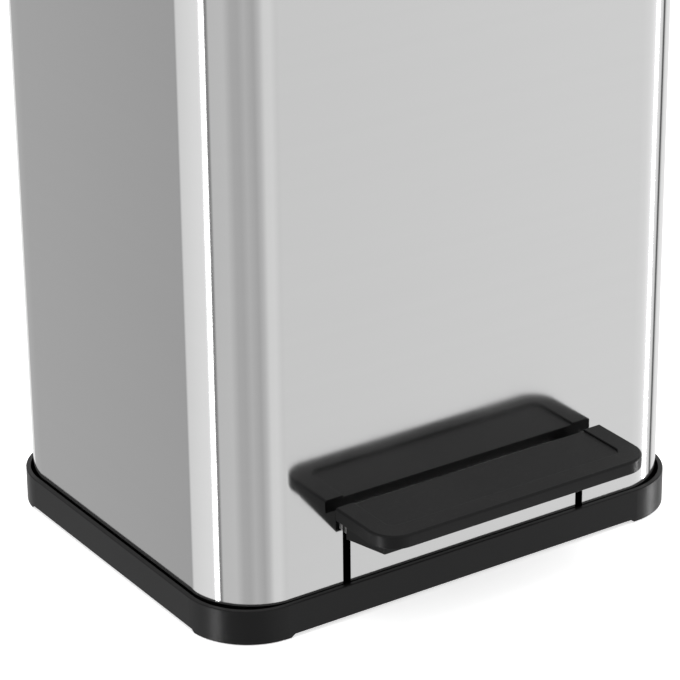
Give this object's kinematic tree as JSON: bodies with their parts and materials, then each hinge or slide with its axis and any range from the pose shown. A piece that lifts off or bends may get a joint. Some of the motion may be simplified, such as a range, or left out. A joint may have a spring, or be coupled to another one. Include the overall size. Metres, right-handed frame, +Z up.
{
  "type": "pedal bin",
  "caption": "Rectangular brushed-steel pedal bin on a black base, with a wide black pedal on flat arms that lifts a rear-hinged lid through a push rod, and a lift-out bucket.",
  "frame": {"origin": "centre of the whole object's bounding box at the floor, under the anti-slip pads", "axes": "+Z up along the bin's height, the pedal faces -Y, +X is to the right seen from the pedal's side"},
  "size_m": [0.3998, 0.3769, 0.65],
  "materials": {
    "body_steel": "satin brushed stainless steel with a horizontal grain",
    "lid_steel": "satin brushed stainless steel",
    "black_plastic": "fine-grained black moulded plastic",
    "lever_steel": "bright zinc-plated steel",
    "fastener_steel": "bright zinc-plated steel",
    "rubber": "soft black rubber",
    "nylon": "natural nylon",
    "damper_grey": "mid-grey moulded plastic",
    "bucket_plastic": "dark grey polypropylene"
  },
  "bodies": {
    "bin": {"base_tray": "black_plastic", "anti_slip_pads": "rubber", "body_shell": "body_steel", "top_collar": "black_plastic", "hinge_housing": "black_plastic", "housing_screws": "fastener_steel", "hinge_pins": "fastener_steel", "bearing_caps": "black_plastic", "bearing_screws": "fastener_steel", "pivot_bushes": "nylon", "rod_guides": "black_plastic", "damper_cylinder": "damper_grey", "damper_clips": "black_plastic", "wall_rivets": "fastener_steel"},
    "lid": {"lid_skin": "lid_steel", "lid_liner": "black_plastic", "lid_bumpers": "rubber", "lid_screws": "fastener_steel", "knuckle_bushes": "nylon"},
    "pedal_lever": {"pedal_tread": "black_plastic", "pedal_arm_left": "lever_steel", "pedal_arm_right": "lever_steel", "lever_bridge": "lever_steel", "lever_rivets": "fastener_steel", "tread_screws": "fastener_steel", "pivot_shaft": "lever_steel", "shaft_clips": "fastener_steel", "lever_pin": "fastener_steel"},
    "lift_rod": {"push_rod": "lever_steel", "rod_foot": "nylon", "rod_tip": "nylon", "damper_rod": "lever_steel"},
    "inner_bucket": {"bucket": "bucket_plastic", "bail_lugs": "lever_steel"},
    "bail_handle": {"bail_wire": "lever_steel", "bail_grip": "black_plastic"}
  },
  "joints": [
    {"name": "lid_hinge", "type": "hinge", "parent": "bin", "child": "lid", "pos_m": [0, 0.1701, 0.635], "axis": [-1, 0, 0], "range_deg": [0, 78]},
    {"name": "pedal_press", "type": "hinge", "parent": "bin", "child": "pedal_lever", "pos_m": [0, 0.0331, 0.041], "axis": [1, 0, 0], "range_deg": [0, 13.02]},
    {"name": "rod_lift", "type": "slide", "parent": "bin", "child": "lift_rod", "axis": [0, 0, 1], "range_m": [0, 0.02645]},
    {"name": "bucket_lift", "type": "slide", "parent": "bin", "child": "inner_bucket", "axis": [0, 0, 1], "range_m": [0, 0.008]},
    {"name": "bail_swing", "type": "hinge", "parent": "inner_bucket", "child": "bail_handle", "pos_m": [0, 0.01628, 0.598], "axis": [-1, 0, 0], "range_deg": [0, 5]}
  ],
  "couplings": [
    {"joint": "pedal_press", "follows": "lid_hinge", "ratio": 0.16673},
    {"joint": "rod_lift", "follows": "lid_hinge", "m_per_rad": 0.019415}
  ]
}
